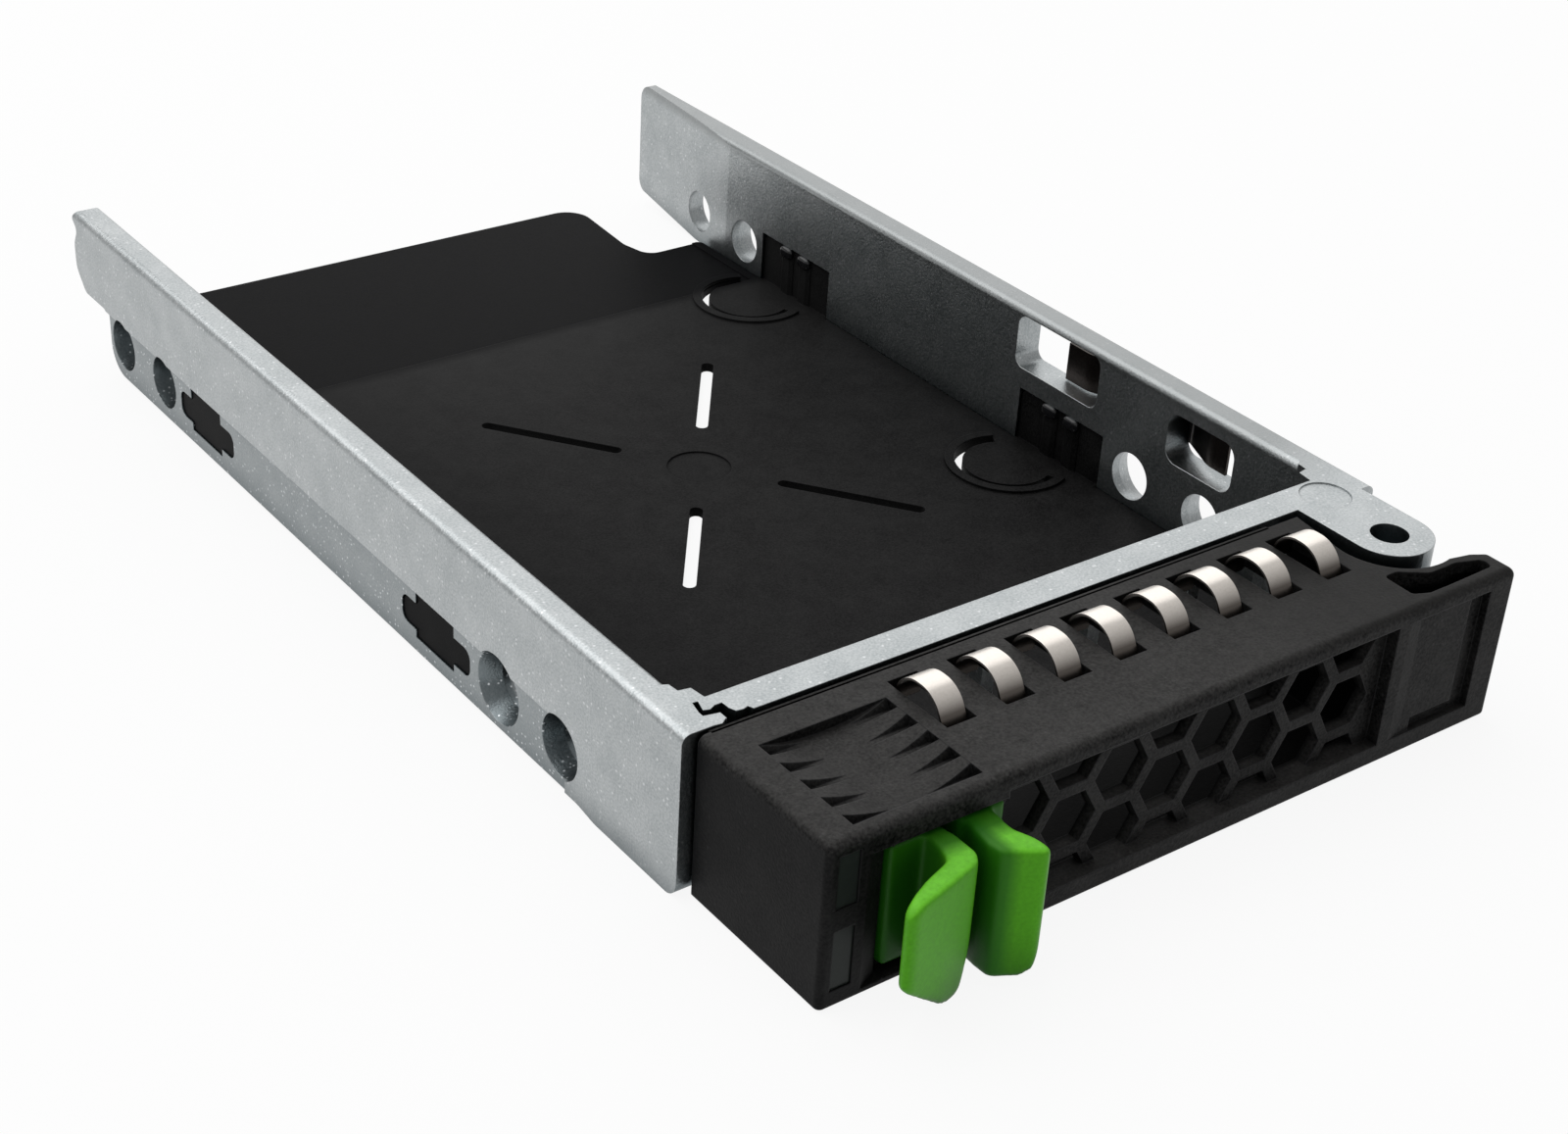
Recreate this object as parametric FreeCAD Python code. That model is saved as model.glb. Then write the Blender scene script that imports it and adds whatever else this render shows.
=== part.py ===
"""Hot swap drive caddy for a 2.5 inch server drive: a die cast frame with a clipped-in floor tray and a
hinged ventilated front lever. Millimetres, +X to the right seen from the front, +Y to the rear, +Z up.
Sizes are given from the outer face of the left rail (x), the front of the cross bar (y) and the floor (z)."""

import FreeCAD, Part
import math
import os

V = FreeCAD.Vector

# Frame casting: two rails, the cross bar and the hinge ears
bay_width = 70.4
rail_wall = 3.2
rail_top = 15.6
rail_bottom = 0.4
rail_front = -0.3
rail_nose_round = 1.5
foot_end = 11.5
foot_slope = 2.5
left_rail_end = 114.6
right_rail_end = 118.5
left_heel = 107.0
left_heel_top = 7.0
side_relief = 0.25
side_relief_top = 6.8
side_relief_start = 16.0
rail_edge_round = 0.9
rail_inner_round = 0.8
flare_start = 97.5
flare_end_wall = 1.6
rear_rise = 1.5
rear_rise_length = 14.0
rail_lap = 1.0
bar_depth = 3.3
bar_wall = 1.5
flange_thick = 1.7
air_gate_width = 10.4
air_gate_pitch = 11.8
air_gate_bottom = 2.4
air_gate_top = 13.1
air_gate_margin = 8.6

# Drive screw holes, to the standard side holes of the drive
drive_seat = 1.3
hole_above_seat = 3.0
hole_radius = 2.5
hole_rows = ((17.1, 3.0), (27.1, 3.5), (93.7, 2.8), (103.7, 2.8))
hole_taper_depth = 2.2

# Clips of the tray in the rails
clip_rows = (37.8, 83.7)
clip_clearance = 0.1
clip_seat_depth = 1.0
clip_pad_thick = 0.6
clip_pad_half = 6.3
clip_pad_top = 6.7
clip_rib_pitch = 3.3
clip_rib_half = 1.1

# Windows of the right rail and the leaf spring that runs through them
rear_window = (33.0, 45.5, 9.0, 14.8, 1.2)
front_window = (13.9, 22.9, 8.3, 13.6, 1.5)
leaf_thick = 0.3
leaf_crest = 1.1
leaf_low = 9.2
leaf_high = 13.3

# Floor tray
floor_thick = 1.0
tray_front = 3.4
tray_gap = 0.1
tray_rear = 118.5
rear_notch_y = 102.5
rear_notch_x = 10.8
cross_slot_width = 1.3
cross_slot_y = 55.7
cross_slot_reach_x = (5.0, 14.3)
cross_slot_reach_y = (6.8, 19.0)
cross_middle_offset = 2.6
gate_radius = 3.3
gate_depth = 0.15
crease_y = 90.4
crease_drop = 0.15
clip_ring_inset = 7.8
clip_ring_offset = 2.3
clip_ring_radius = 5.1
clip_ring_width = 0.9
clip_ring_angle = 230
rim_width = 1.0

# Lever handle
handle_left = 1.2
handle_right_inset = 0.3
handle_front = -17.3
handle_rear = -0.75
handle_bottom = 0.15
handle_top = 15.5
left_round = 0.6
right_round = 0.5
top_round = 0.8
low_round = 0.4
skin = 1.2
side_skin = 1.0
grip_skin = 2.0
grip_left = 4.4
grip_right = 16.7
groove_first = -4.85
groove_pitch = 2.57
groove_count = 5
groove_width = 1.5
groove_floor = 0.5
groove_depth = 0.9
grip_dish = 1.0
grip_dish_radius = 20.0
panel_left = 18.4
panel_right_inset = 15.0
panel_low = 2.1
panel_high = 14.1
panel_depth = 1.25
cell_flats = 5.0
cell_pitch = 6.05
cell_first = 21.1
cell_middle = 7.2
finger_slot_width = 3.0
finger_slot_front = -9.9
finger_slot_rear = -2.4
finger_first = 19.65
finger_pitch = 6.04
label_left_inset = 10.8
label_right_inset = 3.4
label_groove_width = 2.2
label_foot_height = 1.3
label_groove_depth = 0.8
label_recess = 0.25
label_ramp = (13.6, 12.0)

# Lever hinge
pivot_inset = 5.7
pivot_y = -7.3
ear_radius = 4.0
ear_thick = 2.7
lower_ear_low = 0.3
lower_ear_thick = 2.4
ear_clearance_radius = 5.9
pin_radius = 1.2
pin_clearance = 0.05
counterbore_radius = 1.75
counterbore_depth = 1.9
ejector_mark = (71.3, 0.6, 2.4)
ejector_mark_depth = 0.1
barrel_radius = 3.3
barrel_gap = 0.3
spring_space = 2.9
arc_skin = 0.6

# Latch, thumb rest and keeper
tab_front = -23.8
tab_low = 1.0
tab_high = 13.0
tab_gap = 1.2
tab_parting = 13.05
latch_travel = 0.9
pocket_left = 7.0
pocket_right = 18.6
pocket_low = 0.8
pocket_high = 13.4
ramp_left = 5.1
ramp_depth = 0.9
stem_left = 7.3
stem_right = 12.2
slide_gap = 0.3
carriage_rear = -9.2
arm_left = 4.8
arm_thick = 1.0
arm_low = 8.0
hook_tip = 3.75
hook_front = 1.3
hook_rear = 2.2
keeper_tip = 4.4
keeper_low = 7.4
keeper_rear = 0.9
lip_thick = 2.1
rib_left = 18.75
rib_thick = 0.8
coil_radius = 1.2
coil_wire = 0.22
coil_turns = 5
torsion_wire = 0.25
torsion_radius = 2.0
torsion_turns = 3
wire_flats = 6
wire_steps = 14
coil_y = -11.1
coil_z = 7.2

# Light pipes in the left end of the lever
pipe_left = 2.2
pipe_right = 4.2
pipe_heights = {"upper_light_pipe": (9.4, 14.3), "lower_light_pipe": (1.8, 7.4)}
pipe_rear = -1.2
pipe_shrink = 0.2

# Contact fingers over the lever's top
strip_thick = 0.2
strip_finger_width = 2.5
finger_crest = 17.3
finger_bend = 2.6
finger_rise = -3.25
finger_fall = -7.75
finger_tip = (-9.55, 13.85)

# Worked out from the sizes above
overall_width = bay_width + 2 * rail_wall
pivot_x = overall_width - pivot_inset
hole_height = drive_seat + hole_above_seat
handle_right = overall_width - handle_right_inset
panel_right = overall_width - panel_right_inset
panel_face = handle_front + panel_depth
inner_front = handle_front + skin
inner_floor = handle_bottom + skin
inner_top = handle_top - skin
grip_ceiling = handle_top - grip_skin
ear_low = rail_top - ear_thick
lower_ear_high = lower_ear_low + lower_ear_thick
barrel_low = lower_ear_high + spring_space
barrel_high = ear_low - barrel_gap
lip_low = rail_top - lip_thick
arm_high = lip_low - slide_gap
finger_count = int((panel_right - finger_first + finger_slot_width / 2) // finger_pitch) + 1
origin_x = (overall_width + leaf_crest) / 2
origin_y = (tab_front + right_rail_end) / 2

PLANES = {
    "x": lambda a, b, along: V(along, a, b),
    "y": lambda a, b, along: V(a, along, b),
    "z": lambda a, b, along: V(a, b, along),
}


def box(x, y, z):
    """Block between two values on each axis."""
    return Part.makeBox(x[1] - x[0], y[1] - y[0], z[1] - z[0], V(x[0], y[0], z[0]))


def rod(centre, radius, span, axis):
    """Round bar along an axis; centre is its place on the two other axes, in their order."""
    place = PLANES[axis]
    return Part.makeCylinder(radius, span[1] - span[0], place(*centre, span[0]), place(0, 0, 1))


def outline(corners, axis, along):
    """Closed wire through corners (a, b, radius), each rounded by an arc tangent to its two sides."""
    place = PLANES[axis]
    points = [V(a, b, 0) for a, b, _ in corners]
    turns = []
    for i, here in enumerate(points):
        back = (points[i - 1] - here).normalize()
        ahead = (points[(i + 1) % len(points)] - here).normalize()
        radius = corners[i][2]
        if radius == 0:
            turns.append((here, None, here))
            continue
        half = back.getAngle(ahead) / 2
        bisector = (back + ahead).normalize()
        reach = radius / math.tan(half)
        middle = here + bisector * (radius / math.sin(half) - radius)
        turns.append((here + back * reach, middle, here + ahead * reach))
    edges = []
    for i, (start, middle, end) in enumerate(turns):
        if middle is not None:
            edges.append(Part.Arc(*[place(p.x, p.y, along) for p in (start, middle, end)]).toShape())
        following = turns[(i + 1) % len(turns)][0]
        if (following - end).Length > 1e-5:
            edges.append(Part.makeLine(place(end.x, end.y, along), place(following.x, following.y, along)))
    return Part.Wire(edges)


def prism(corners, axis, span):
    """Solid with a rounded outline, drawn square to an axis, from one value on it to another."""
    return Part.Face(outline(corners, axis, span[0])).extrude(PLANES[axis](0, 0, span[1] - span[0]))


def panel(a, b, radius, axis, span):
    """Prism with a rectangular outline and equal round corners."""
    corners = [(a[0], b[0], radius), (a[1], b[0], radius), (a[1], b[1], radius), (a[0], b[1], radius)]
    return prism(corners, axis, span)


def ribbon(path, thickness, axis, span):
    """Strip of even thickness along a path (a, b, radius) of straight runs joined by arcs."""
    points = [V(a, b, 0) for a, b, _ in path]
    runs = [(ahead - here).normalize() for here, ahead in zip(points, points[1:])]
    sides = [[], []]
    for i, here in enumerate(points):
        before, after = runs[max(i - 1, 0)], runs[min(i, len(runs) - 1)]
        across = V(-before.y - after.y, before.x + after.x, 0).normalize()
        reach = thickness / 2 / math.cos(before.getAngle(after) / 2)
        turn = before.x * after.y - before.y * after.x
        for side, sign in zip(sides, (1, -1)):
            corner = here + across * (sign * reach)
            grow = -sign * math.copysign(thickness / 2, turn) if path[i][2] else 0
            side.append((corner.x, corner.y, path[i][2] + grow))
    return prism(sides[0] + sides[1][::-1], axis, span)


def wound_wire(points, radius):
    """Wire with a few flats that runs straight from point to point."""
    rings = []
    normal = V(0, 0, 1)
    for i, here in enumerate(points):
        along = (points[min(i + 1, len(points) - 1)] - points[max(i - 1, 0)]).normalize()
        normal = (normal - along * normal.dot(along)).normalize()
        side = along.cross(normal)
        turns = [2 * math.pi * k / wire_flats for k in range(wire_flats)]
        rings.append([here + (normal * math.cos(turn) + side * math.sin(turn)) * radius for turn in turns])
    flats = [rings[0], rings[-1]]
    for low, high in zip(rings, rings[1:]):
        for k in range(wire_flats):
            following = (k + 1) % wire_flats
            flats.append([low[k], low[following], high[following]])
            flats.append([low[k], high[following], high[k]])
    skin = Part.makeShell([Part.Face(Part.makePolygon(flat + [flat[0]])) for flat in flats])
    skin.sewShape()
    return Part.makeSolid(skin)


def helix_points(centre, radius, pitch, turns, start):
    """Points of a coil about +Z that rises from a centre, beginning at an angle in degrees."""
    count = round(turns * wire_steps)
    points = []
    for i in range(count + 1):
        angle = math.radians(start + 360 * turns * i / count)
        rise = pitch * turns * i / count
        points.append(centre + V(radius * math.cos(angle), radius * math.sin(angle), rise))
    return points


def mirrored(shape):
    """The same shape on the other side of the caddy's middle plane."""
    return shape.mirror(V(overall_width / 2, 0, 0), V(1, 0, 0))


def fused(shapes):
    """One solid from several that meet."""
    return shapes[0].multiFuse(shapes[1:]).removeSplitter()


def edges_near(shape, test):
    """Edges whose two ends and middle all pass the test."""
    found = []
    for edge in shape.Edges:
        first, last = edge.ParameterRange
        marks = [edge.valueAt(first + (last - first) * part) for part in (0, 0.5, 1)]
        if all(test(mark) for mark in marks):
            found.append(edge)
    return found


def clip_profile(row, shrink):
    """Corners (y, z) of a clip opening: a tall middle with a lower lobe at each end."""
    middle, lobe = (-3.2 + shrink, 3.5 - shrink), 6.0 - shrink
    tall, low = (1.8 + shrink, 6.8 - shrink), (2.6 + shrink, 5.4 - shrink)
    half = [(row - lobe, low[0], 1.0), (row + middle[0], low[0], 0), (row + middle[0], tall[0], 0),
            (row + middle[1], tall[0], 0), (row + middle[1], low[0], 0), (row + lobe, low[0], 1.0)]
    other = [(row + lobe, low[1], 1.0), (row + middle[1], low[1], 0), (row + middle[1], tall[1], 0),
             (row + middle[0], tall[1], 0), (row + middle[0], low[1], 0), (row - lobe, low[1], 1.0)]
    return half + other


def rail_blank(rear_corners):
    """Rail as cast before its holes: a plate with a deeper front foot and its own rear outline."""
    corners = [(rail_front, 0, rail_nose_round), (foot_end, 0, 6), (foot_end + foot_slope, rail_bottom, 6)]
    corners += rear_corners + [(rail_front, rail_top, 0)]
    rail = prism(corners, "x", (0, rail_wall))
    rear = max(corner[0] for corner in rear_corners)
    round_middle = (rail_edge_round, rail_top - rail_edge_round)
    sharp = box((-1, rail_edge_round), (rail_front - 1, rear + 1), (round_middle[1], rail_top + 1))
    rail = rail.cut(sharp.cut(rod(round_middle, rail_edge_round, (rail_front - 2, rear + 2), "y")))
    start = bar_depth + 0.7
    sharp = box((rail_wall - rail_inner_round, rail_wall + 1), (start, rear + 1),
                (rail_top - rail_inner_round, rail_top + 1))
    round_middle = (rail_wall - rail_inner_round, rail_top - rail_inner_round)
    rail = rail.cut(sharp.cut(rod(round_middle, rail_inner_round, (start - 1, rear + 2), "y")))
    relief = box((-1, side_relief), (side_relief_start, rear + 1), (-1, side_relief_top))
    return rail.cut(relief)


def rail_openings(rail):
    """Rail with its tapered screw holes, its clip openings and the seats of the tray's clip pads."""
    for y, outer_radius in hole_rows:
        rail = rail.cut(rod((y, hole_height), hole_radius, (-1, rail_wall + 1), "x"))
        taper = Part.makeCone(outer_radius, hole_radius, hole_taper_depth, V(0, y, hole_height), V(1, 0, 0))
        rail = rail.cut(taper)
    for row in clip_rows:
        rail = rail.cut(prism(clip_profile(row, 0), "x", (-1, rail_wall + 1)))
        seat = clip_pad_half + clip_clearance
        rail = rail.cut(box((rail_wall - clip_seat_depth, rail_wall + 1),
                            (row - seat, row + seat), (-1, clip_pad_top + clip_clearance)))
    return rail


def left_rail():
    """Left rail, whose rear end is a heel with a rounded fin above it."""
    rear = left_rail_end
    corners = [(left_heel, rail_bottom, 3), (left_heel, left_heel_top, 0.9), (rear - 2.2, left_heel_top, 1.2),
               (rear - 0.2, left_heel_top + 2.2, 2), (rear - 0.2, left_heel_top + 5, 2),
               (rear - 1.2, rail_top - 1.8, 0.8), (rear, rail_top - 0.7, 0.5), (rear - 0.4, rail_top, 0.3)]
    return rail_openings(rail_blank(corners))


def right_rail():
    """Right rail: square and flared at its rear end, with two windows for the leaf spring."""
    rear = right_rail_end
    corners = [(rear - rear_rise_length, rail_bottom, 4), (rear, rail_bottom + rear_rise, 1.5),
               (rear, rail_top, 2)]
    rail = rail_openings(rail_blank(corners))
    flare = [(rail_wall, flare_start, 0), (flare_end_wall, rear, 0), (flare_end_wall, rear + 1, 0),
             (rail_wall + 1, rear + 1, 0), (rail_wall + 1, flare_start, 0)]
    rail = rail.cut(prism(flare, "z", (-1, rail_top + 1)))
    for low_y, high_y, low_z, high_z, radius in (rear_window, front_window):
        rail = rail.cut(panel((low_y, high_y), (low_z, high_z), radius, "x", (-1, rail_wall + 1)))
    return mirrored(rail)


def cross_bar():
    """Channel between the rails with air gates in its wall and a block in each rear corner."""
    inner, outer = rail_wall - rail_lap, overall_width - rail_wall + rail_lap
    wall = box((inner, outer), (0, bar_wall), (rail_bottom, rail_top))
    top = box((inner, outer), (0, bar_depth), (rail_top - flange_thick, rail_top))
    base = box((inner, outer), (0, bar_depth), (rail_bottom, rail_bottom + flange_thick * 0.7))
    end = box((overall_width - rail_wall - 7.1, outer), (0, bar_depth), (rail_bottom, rail_top))
    corner = [(inner, 6.7, 0), (rail_wall, 6.2, 0), (rail_wall + 0.12, 5.1, 0), (rail_wall + 1.2, 4.9, 0),
              (rail_wall + 1.45, bar_depth - 0.3, 0), (inner, bar_depth - 0.3, 0)]
    left_corner = prism(corner, "z", (floor_thick + tray_gap, rail_top))
    bar = fused([wall, top, base, end, left_corner, mirrored(left_corner)])
    room = overall_width - 2 * air_gate_margin
    count = int((room + air_gate_pitch - air_gate_width) // air_gate_pitch)
    first = (overall_width - (count - 1) * air_gate_pitch - air_gate_width) / 2 - 1.2
    for i in range(count):
        left = first + i * air_gate_pitch
        gate = box((left, left + air_gate_width), (-1, bar_wall + 1), (air_gate_bottom, air_gate_top))
        bar = bar.cut(gate)
    return bar


def hinge_ear(low, high):
    """Round-nosed ear that carries one end of the hinge pin."""
    left, right, nose = pivot_x - ear_radius, pivot_x + ear_radius, pivot_y - ear_radius
    rounding = ear_radius - 0.001
    corners = [(left, 1, 0), (left, nose, rounding), (right, nose, rounding), (right, 1, 0)]
    return prism(corners, "z", (low, high))


def keeper_gap():
    """Gap of the top lip beside the keeper: a thin slot behind it and a pocket that shows the hook."""
    corners = [(3.0, 1.2, 0), (3.0, 1.75, 0), (3.3, 3.1, 0), (3.8, 3.05, 0), (3.45, 1.85, 0),
               (4.0, 1.65, 0), (4.6, 1.95, 0), (5.3, 1.95, 0), (5.35, 1.1, 0), (5.6, 0.45, 0),
               (6.2, 0.35, 0), (6.75, 0.5, 0), (7.0, -0.1, 0), (7.0, -1, 0), (keeper_tip, -1, 0),
               (keeper_tip, keeper_rear, 0)]
    return prism(corners, "z", (lip_low - 0.1, rail_top + 1))


def keeper():
    """Tab at the front of the left rail that the latch hook sits behind."""
    corners = [(rail_wall - 0.2, rail_front, 0), (keeper_tip - 0.7, rail_front - 0.1, 0),
               (keeper_tip, 0.1, 0.35), (keeper_tip, keeper_rear, 0.3),
               (rail_wall - 0.2, keeper_rear + 0.25, 0)]
    return prism(corners, "z", (keeper_low, rail_top))


def latch_window():
    """Room below the lip for the latch arm and hook over the whole travel."""
    reach = arm_left + arm_thick + latch_travel + slide_gap + 0.2
    arm_room = box((keeper_tip, reach), (-1, hook_rear + 0.4), (keeper_low, lip_low))
    hook_room = box((hook_tip - 0.4, reach), (keeper_rear, hook_rear + 0.4), (keeper_low, lip_low))
    return arm_room.fuse(hook_room)


def frame_casting():
    """Both rails, the cross bar, the keeper and the two hinge ears, cast as one."""
    body = fused([left_rail(), right_rail(), cross_bar(), hinge_ear(ear_low, rail_top),
                  hinge_ear(lower_ear_low, lower_ear_high)])
    body = body.cut(keeper_gap()).cut(latch_window())
    body = fused([body, keeper()])
    body = body.cut(rod((pivot_x, pivot_y), pin_radius, (-1, rail_top + 1), "z"))
    sink = (rail_top - counterbore_depth, rail_top + 1)
    body = body.cut(rod((pivot_x, pivot_y), counterbore_radius, sink, "z"))
    x, y, radius = ejector_mark
    return body.cut(rod((x, y), radius, (rail_top - ejector_mark_depth, rail_top + 1), "z"))


def hinge_pin():
    """Plain pin pressed into both ears, with its top in the counterbore."""
    pin = rod((pivot_x, pivot_y), pin_radius, (lower_ear_low, rail_top - counterbore_depth), "z")
    return pin.makeChamfer(0.2, edges_near(pin, lambda p: p.z > 12))


def tray_clip(row):
    """Upright pad at the left edge, with two ribs and the lug that snaps into the rail's opening."""
    inner = rail_wall + tray_gap
    back = rail_wall - clip_seat_depth + clip_clearance
    pad = box((back, back + clip_pad_thick), (row - clip_pad_half, row + clip_pad_half), (0, clip_pad_top))
    pad = pad.makeFillet(1.0, edges_near(pad, lambda p: abs(abs(p.y - row) - clip_pad_half) < 0.01
                                         and p.z > clip_pad_top - 0.01))
    foot = box((back, inner), (row - clip_pad_half, row + clip_pad_half), (0, floor_thick))
    lug = prism(clip_profile(row, clip_clearance), "x", (side_relief + 0.15, back + 0.1))
    ribs = []
    for side in (-1, 1):
        y = row + side * clip_rib_pitch / 2
        plan = [(back + 0.1, y - clip_rib_half, 0), (inner - 0.3, y - clip_rib_half, 0),
                (inner, y - clip_rib_half + 0.5, 0), (inner, y + clip_rib_half - 0.5, 0),
                (inner - 0.3, y + clip_rib_half, 0), (back + 0.1, y + clip_rib_half, 0)]
        ribs.append(prism(plan, "z", (0.1, clip_pad_top - 0.5)))
    return fused([pad, foot, lug] + ribs)


def open_ring(centre, inner, outer, span):
    """Level ring, open towards the rail, about a centre (x, y)."""
    ring = Part.makeCylinder(outer, span[1] - span[0], V(0, 0, 0), V(0, 0, 1), clip_ring_angle)
    ring = ring.cut(Part.makeCylinder(inner, span[1] - span[0]))
    ring.rotate(V(0, 0, 0), V(0, 0, 1), -clip_ring_angle / 2)
    ring.translate(V(centre[0], centre[1], span[0]))
    return ring


def clip_ring(row):
    """C-shaped slot that frees the floor round a clip, and the raised rim along it."""
    centre = (clip_ring_inset, row + clip_ring_offset)
    outer, inner = clip_ring_radius + clip_ring_width / 2, clip_ring_radius - clip_ring_width / 2
    slot = open_ring(centre, inner, outer, (-1, drive_seat + 1))
    rim = open_ring(centre, outer, outer + rim_width, (floor_thick - 0.5, drive_seat))
    return slot, rim


def cross_slot(side_x, side_y):
    """Slot of the floor's cross that runs out from the middle to one corner."""
    middle = V(overall_width / 2 + cross_middle_offset, cross_slot_y, 0)
    reach = zip(cross_slot_reach_x, cross_slot_reach_y)
    start, end = [middle + V(side_x * x, side_y * y, 0) for x, y in reach]
    along = (end - start).normalize()
    half = V(-along.y, along.x, 0) * (cross_slot_width / 2)
    rounding = cross_slot_width / 2 - 0.001
    corners = [(p.x, p.y, rounding) for p in (start - half, end - half, end + half, start + half)]
    return prism(corners, "z", (-1, floor_thick + 1))


def base_tray():
    """Moulded floor between the rails, with clips, a cross of slots and a lower rear flap."""
    left, notch = rail_wall + tray_gap, rear_notch_x
    half = [(left, tray_front, 0.5), (left, rear_notch_y, 0.8), (notch, rear_notch_y, 2),
            (notch + 0.9, rear_notch_y + 4, 3), (notch, tray_rear, 3)]
    corners = half + [(overall_width - x, y, r) for x, y, r in reversed(half)]
    tray = prism(corners, "z", (0, floor_thick))
    rims, slots = [], []
    for row in clip_rows:
        slot, rim = clip_ring(row)
        rims += [rim, mirrored(rim)]
        slots += [slot, mirrored(slot)]
    clips = [tray_clip(row) for row in clip_rows]
    slab = prism(corners, "z", (0, drive_seat))
    tray = fused([tray] + [rim.common(slab) for rim in rims] + clips + [mirrored(clip) for clip in clips])
    for slot in slots + [cross_slot(x, y) for x in (-1, 1) for y in (-1, 1)]:
        tray = tray.cut(slot)
    gate = rod((overall_width / 2 + cross_middle_offset, cross_slot_y), gate_radius,
               (floor_thick - gate_depth, floor_thick + 1), "z")
    flap = box((left + 1.2, overall_width - left - 1.2), (crease_y, tray_rear + 1),
               (floor_thick - crease_drop, floor_thick + 1))
    keep_rim = box((0, overall_width), (crease_y, clip_rows[1] + 12), (floor_thick, floor_thick + 1))
    return tray.cut(gate).cut(flap.cut(keep_rim))


def ear_clearance(grow, span):
    """Space of the hinge ears in the lever, grown by a skin to shape the hollow inside."""
    reach = ear_clearance_radius + grow
    round_part = rod((pivot_x, pivot_y), reach, span, "z")
    far = overall_width + 5
    nose = [(pivot_x, pivot_y, 0), (pivot_x + 1.4, pivot_y - reach + 0.15, 0),
            (pivot_x + 3.5, -13.5 - grow, 1.0), (pivot_x + 5.1 - grow / 2, -14.4 - grow, 0.8),
            (pivot_x + 5.4 - grow / 2, -15.5 - grow / 2, 0), (far, -15.5 - grow / 2, 0), (far, 2, 0),
            (pivot_x - reach + 1.4, 2, 0), (pivot_x - reach, pivot_y, 0)]
    return round_part.fuse(prism(nose, "z", span)).removeSplitter()


def handle_shell():
    """Lever as a shell that is open at the rear, with thicker skin at the grip and the vent panel."""
    body = box((handle_left, handle_right), (handle_front, handle_rear), (handle_bottom, handle_top))
    front = handle_front + 0.01
    body = body.makeFillet(left_round, edges_near(body, lambda p: p.x < handle_left + 0.01 and p.y < front))
    body = body.makeFillet(right_round, edges_near(body, lambda p: p.x > handle_right - 0.01 and p.y < front))
    front = handle_front + left_round + 0.1
    body = body.makeFillet(top_round, edges_near(body, lambda p: p.y < front and p.z > handle_top - 0.01))
    body = body.makeFillet(low_round, edges_near(body, lambda p: p.y < front and p.z < handle_bottom + 0.01))
    full = (handle_bottom - 1, handle_top + 1)
    hollow = box((handle_left + side_skin, handle_right - side_skin), (inner_front, 1),
                 (inner_floor, inner_top))
    hollow = hollow.cut(ear_clearance(arc_skin, full))
    shell = body.cut(ear_clearance(0, full)).cut(hollow)
    grip_end = finger_first - finger_slot_width / 2 - slide_gap
    grip_pad = box((handle_left + 0.5, grip_end), (inner_front - 0.1, handle_rear),
                   (grip_ceiling, inner_top + 0.1))
    vent_wall = box((rib_left, panel_right + 1), (inner_front - 0.1, panel_face + skin),
                    (inner_floor - 0.1, inner_top + 0.1))
    rib_span_z = (inner_floor - 0.1, grip_ceiling)
    left_rib = box((rib_left, rib_left + rib_thick), (inner_front - 0.1, handle_rear - 2), rib_span_z)
    right_rib = box((panel_right + 0.2, panel_right + 1), (inner_front - 0.1, handle_rear - 2), rib_span_z)
    guide = box((stem_left, rib_left + 0.1), (carriage_rear + slide_gap, carriage_rear + slide_gap + 0.8),
                (inner_floor - 0.1, grip_ceiling))
    return fused([shell, grip_pad, vent_wall, left_rib, right_rib, guide])


def vent_cells():
    """Six-sided air holes in staggered columns, clipped to the recessed panel."""
    column_step = cell_pitch * math.sqrt(3) / 2
    corner = cell_flats / math.sqrt(3)
    window = box((panel_left, panel_right), (panel_face - 1, panel_face + 3), (panel_low, panel_high))
    columns = int((panel_right - cell_first) // column_step) + 1
    rows = int((panel_high - panel_low) / cell_pitch) + 1
    cells = []
    for column in range(columns):
        x = cell_first + column * column_step
        for row in range(-rows, rows + 1):
            z = cell_middle + (row + 0.5 * ((column + 1) % 2)) * cell_pitch
            if z + cell_flats / 2 < panel_low + 0.8 or z - cell_flats / 2 > panel_high - 0.8:
                continue
            if x + corner / 2 > panel_right:
                continue
            turns = [math.radians(60 * k) for k in range(6)]
            points = [(x + corner * math.cos(turn), z + corner * math.sin(turn), 0) for turn in turns]
            cells.append(prism(points, "y", (panel_face - 0.5, panel_face + skin + 0.5)).common(window))
    return cells


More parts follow.
